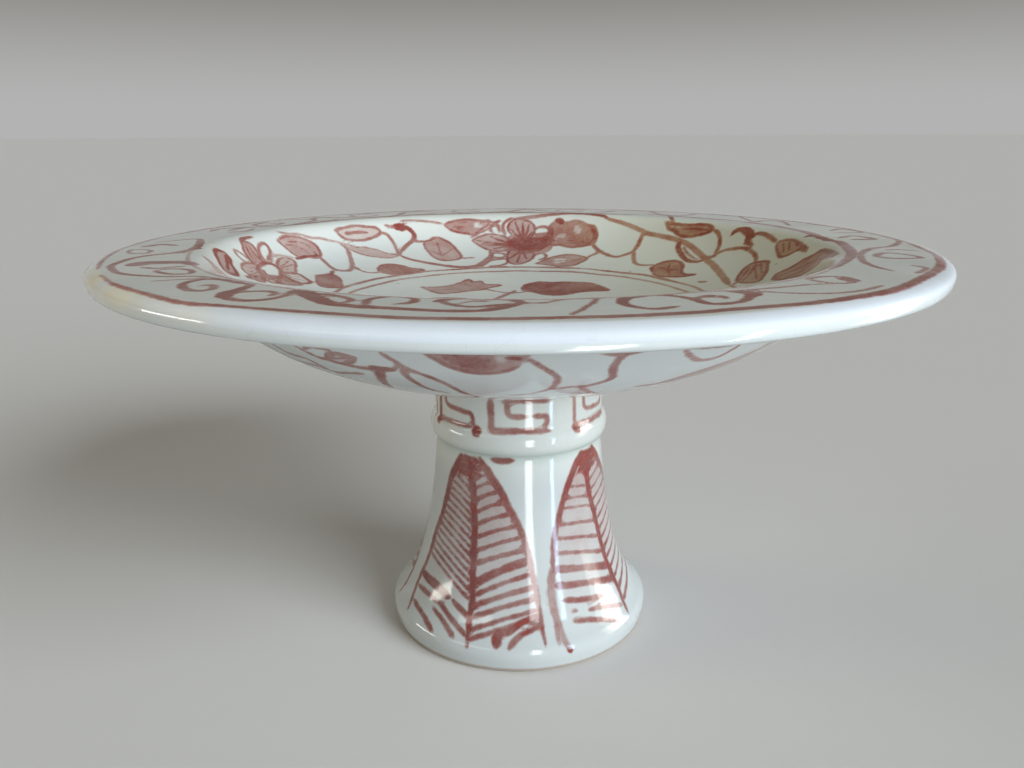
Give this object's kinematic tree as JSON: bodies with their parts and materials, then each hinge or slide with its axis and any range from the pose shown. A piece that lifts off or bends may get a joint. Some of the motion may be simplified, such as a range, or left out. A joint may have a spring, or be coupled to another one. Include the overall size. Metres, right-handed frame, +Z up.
{
  "type": "ceramic stem dish",
  "caption": "Shallow glazed ceramic dish with a flat everted rim, standing on a hollow flaring stem with one rounded ridge; painted under the glaze in copper red.",
  "frame": {"origin": "centre of the foot ring's underside", "axes": "+Z up along the axis of the turned form, towards the dish's mouth"},
  "size_m": [0.1788, 0.1788, 0.0922],
  "materials": {
    "glaze": "glossy bluish white glaze over copper-red painting"
  },
  "bodies": {
    "root": {"stem_dish": "glaze"}
  },
  "joints": []
}
